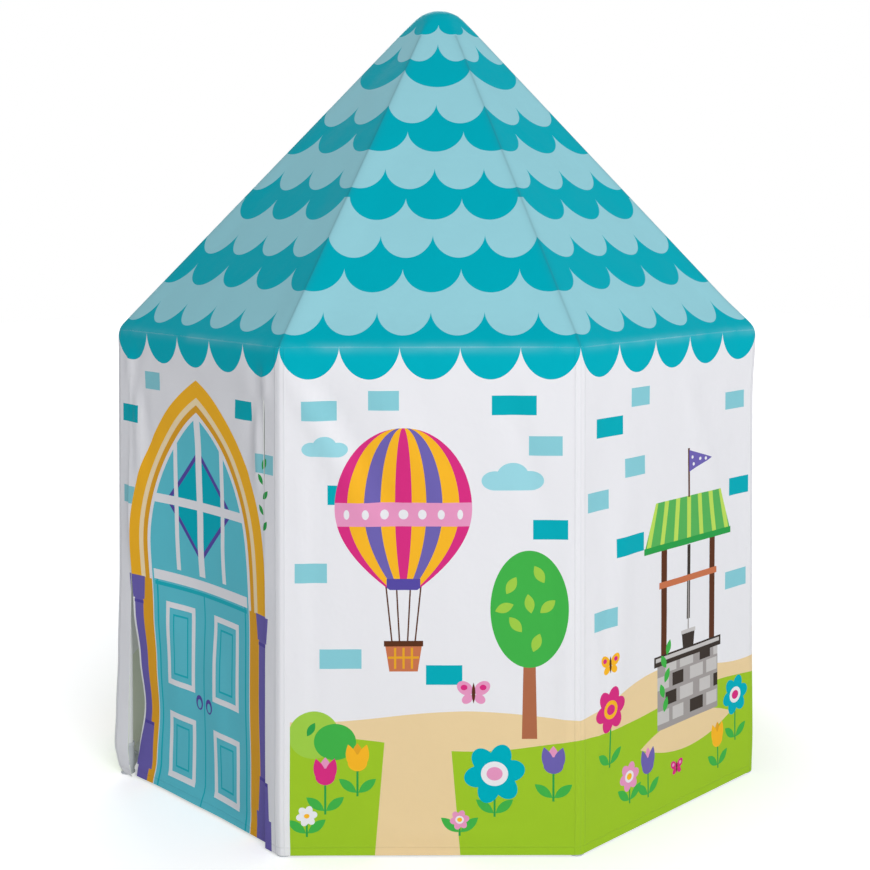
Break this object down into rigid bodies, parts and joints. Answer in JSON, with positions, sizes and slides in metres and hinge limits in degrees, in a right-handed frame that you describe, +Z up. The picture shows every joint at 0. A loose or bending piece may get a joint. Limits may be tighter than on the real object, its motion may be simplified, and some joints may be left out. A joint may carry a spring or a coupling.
{
  "type": "kids play tent",
  "caption": "Child's eight-sided play tent with a pointed roof, a printed vinyl cover and a tube frame.",
  "frame": {"origin": "on the floor under the middle of the tent", "axes": "+Z up; the doorway faces -Y; +X is to the right as one looks in at the doorway"},
  "size_m": [1.04, 1.054, 1.28],
  "materials": {
    "tube_plastic": "smooth extruded",
    "connector_plastic": "moulded",
    "roof_vinyl": "printed sheet",
    "wall_vinyl": "printed sheet",
    "door_vinyl": "printed sheet"
  },
  "bodies": {
    "frame": {"top_hub": "connector_plastic", "rafter_1": "tube_plastic", "rafter_2": "tube_plastic", "rafter_3": "tube_plastic", "rafter_4": "tube_plastic", "rafter_5": "tube_plastic", "rafter_6": "tube_plastic", "rafter_7": "tube_plastic", "rafter_8": "tube_plastic", "eave_connector_1": "connector_plastic", "eave_connector_2": "connector_plastic", "eave_connector_3": "connector_plastic", "eave_connector_4": "connector_plastic", "eave_connector_5": "connector_plastic", "eave_connector_6": "connector_plastic", "eave_connector_7": "connector_plastic", "eave_connector_8": "connector_plastic", "eave_rail_1": "tube_plastic", "eave_rail_2": "tube_plastic", "eave_rail_3": "tube_plastic", "eave_rail_4": "tube_plastic", "eave_rail_5": "tube_plastic", "eave_rail_6": "tube_plastic", "eave_rail_7": "tube_plastic", "eave_rail_8": "tube_plastic", "post_1": "tube_plastic", "post_2": "tube_plastic", "post_3": "tube_plastic", "post_4": "tube_plastic", "post_5": "tube_plastic", "post_6": "tube_plastic", "post_7": "tube_plastic", "post_8": "tube_plastic", "base_connector_1": "connector_plastic", "base_connector_2": "connector_plastic", "base_connector_3": "connector_plastic", "base_connector_4": "connector_plastic", "base_connector_5": "connector_plastic", "base_connector_6": "connector_plastic", "base_connector_7": "connector_plastic", "base_connector_8": "connector_plastic", "base_rail_1": "tube_plastic", "base_rail_2": "tube_plastic", "base_rail_3": "tube_plastic", "base_rail_4": "tube_plastic", "base_rail_5": "tube_plastic", "base_rail_6": "tube_plastic", "base_rail_7": "tube_plastic"},
    "cover": {"roof_panel_1": "roof_vinyl", "roof_panel_2": "roof_vinyl", "roof_panel_3": "roof_vinyl", "roof_panel_4": "roof_vinyl", "roof_panel_5": "roof_vinyl", "roof_panel_6": "roof_vinyl", "roof_panel_7": "roof_vinyl", "roof_panel_8": "roof_vinyl", "roof_cap": "roof_vinyl", "wall_skin": "wall_vinyl"},
    "door": {"door_flap": "door_vinyl"}
  },
  "joints": [
    {"name": "cover_lift", "type": "slide", "parent": "frame", "child": "cover", "axis": [0, 0, 1], "range_m": [0, 1.32]},
    {"name": "door_swing", "type": "hinge", "parent": "cover", "child": "door", "pos_m": [0, -0.5194, 0.655], "axis": [-1, 0, 0], "range_deg": [-80, 120]}
  ]
}
